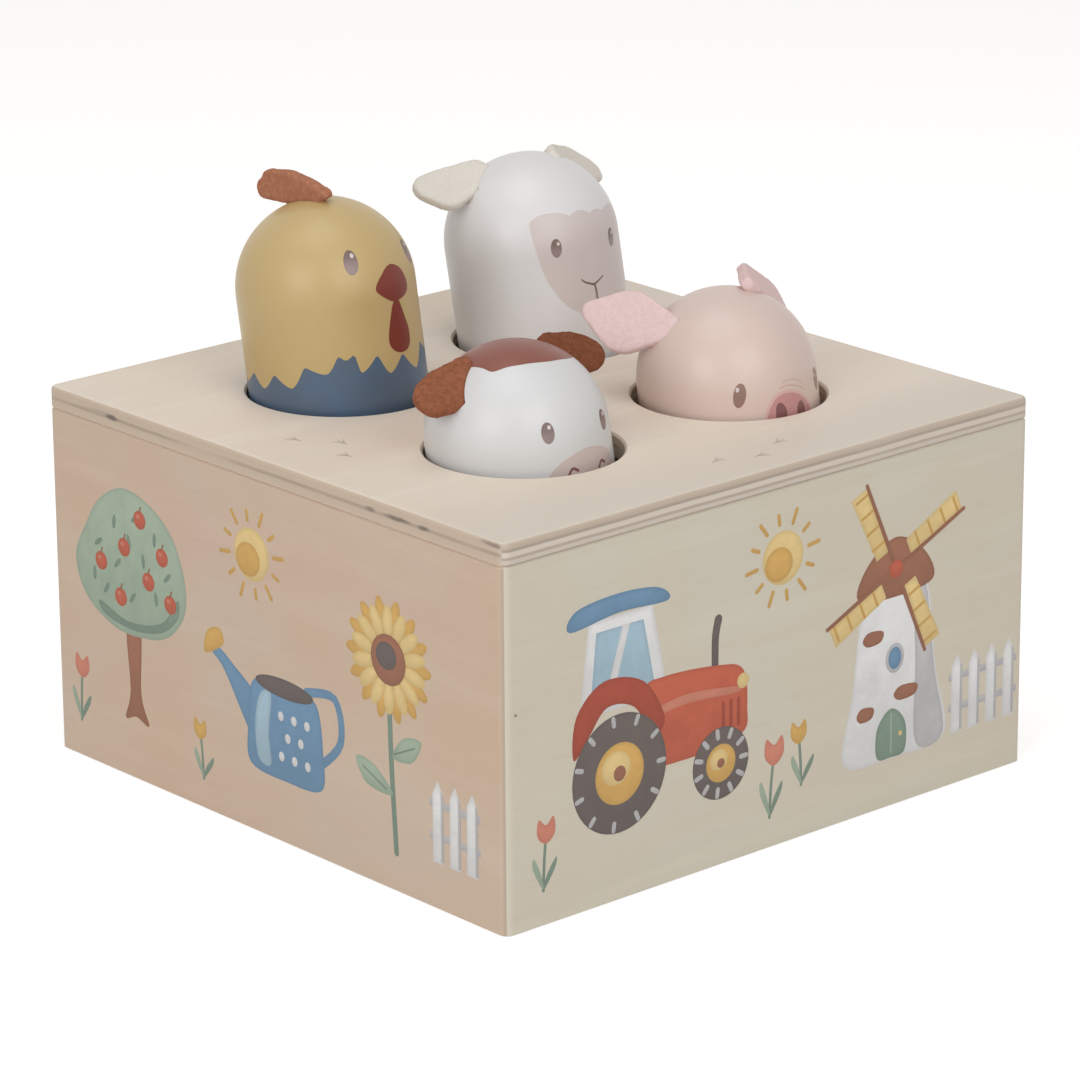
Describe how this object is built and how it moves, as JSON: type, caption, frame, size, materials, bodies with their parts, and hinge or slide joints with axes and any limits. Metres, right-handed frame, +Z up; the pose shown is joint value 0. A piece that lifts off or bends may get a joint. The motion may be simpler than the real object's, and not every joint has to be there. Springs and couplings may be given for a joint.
{
  "type": "pop up animal toy",
  "caption": "Wooden box toy with round-topped animal pegs in holes in its lid; see-saw rockers inside join them in pairs, so pressing one down lifts the other.",
  "frame": {"origin": "centre of the base, on the surface that the box stands on", "axes": "+Z up; the animals face -Y; +X is on the animals' left hand"},
  "size_m": [0.18, 0.18, 0.157],
  "materials": {
    "box_wood_left": "plain lacquered plywood, pinkish tint",
    "box_wood_front": "plain lacquered plywood, pale yellow tint",
    "lid_wood": "matt lacquered plywood",
    "inner_wood": "bare softwood",
    "screw_steel": "zinc plated",
    "chicken_paint": "satin painted wood, mustard yellow",
    "sheep_paint": "satin painted wood, white",
    "cow_paint": "satin painted wood, white",
    "pig_paint": "satin painted wood, pink",
    "comb_felt": "rust brown wool felt",
    "sheep_felt": "cream wool felt",
    "cow_felt": "rust brown wool felt",
    "pig_felt": "pink wool felt"
  },
  "bodies": {
    "box": {"lid": "lid_wood", "front_panel": "box_wood_front", "right_panel": "box_wood_front", "back_panel": "box_wood_front", "left_panel": "box_wood_left", "base_panel": "inner_wood", "post_front_left": "inner_wood", "post_front_right": "inner_wood", "post_back_left": "inner_wood", "post_back_right": "inner_wood", "base_screws": "screw_steel", "axle": "inner_wood", "spacer_left": "inner_wood", "spacer_middle": "inner_wood", "spacer_right": "inner_wood"},
    "rocker_left": {"rocker_left": "inner_wood"},
    "rocker_right": {"rocker_right": "inner_wood"},
    "chicken": {"chicken_peg": "chicken_paint", "chicken_foot": "inner_wood", "chicken_foot_screw": "screw_steel", "chicken_comb": "comb_felt"},
    "sheep": {"sheep_peg": "sheep_paint", "sheep_foot": "inner_wood", "sheep_foot_screw": "screw_steel", "sheep_ear_left": "sheep_felt", "sheep_ear_right": "sheep_felt"},
    "cow": {"cow_peg": "cow_paint", "cow_foot": "inner_wood", "cow_foot_screw": "screw_steel", "cow_ear_left": "cow_felt", "cow_ear_right": "cow_felt"},
    "pig": {"pig_peg": "pig_paint", "pig_foot": "inner_wood", "pig_foot_screw": "screw_steel", "pig_ear_left": "pig_felt", "pig_ear_right": "pig_felt"}
  },
  "joints": [
    {"name": "rocker_left_tilt", "type": "hinge", "parent": "box", "child": "rocker_left", "pos_m": [-0.03525, 0, 0.0603], "axis": [-1, 0, 0], "range_deg": [0, 36.42]},
    {"name": "cow_slide", "type": "slide", "parent": "box", "child": "cow", "axis": [-0.0937, 0.0902, 0.9915], "range_m": [0, 0.02301]},
    {"name": "chicken_slide", "type": "slide", "parent": "box", "child": "chicken", "axis": [-0.0905, 0.0556, 0.9943], "range_m": [-0.02236, 0]},
    {"name": "rocker_right_tilt", "type": "hinge", "parent": "box", "child": "rocker_right", "pos_m": [0.03525, 0, 0.0603], "axis": [-1, 0, 0], "range_deg": [0, 36.48]},
    {"name": "pig_slide", "type": "slide", "parent": "box", "child": "pig", "axis": [-0.0748, 0.0765, 0.9943], "range_m": [0, 0.02302]},
    {"name": "sheep_slide", "type": "slide", "parent": "box", "child": "sheep", "axis": [-0.078, 0.1094, 0.9909], "range_m": [-0.02223, 0]}
  ],
  "couplings": [
    {"joint": "cow_slide", "follows": "rocker_left_tilt", "m_per_rad": 0.036208},
    {"joint": "chicken_slide", "follows": "rocker_left_tilt", "m_per_rad": -0.035183},
    {"joint": "pig_slide", "follows": "rocker_right_tilt", "m_per_rad": 0.036152},
    {"joint": "sheep_slide", "follows": "rocker_right_tilt", "m_per_rad": -0.034909}
  ]
}
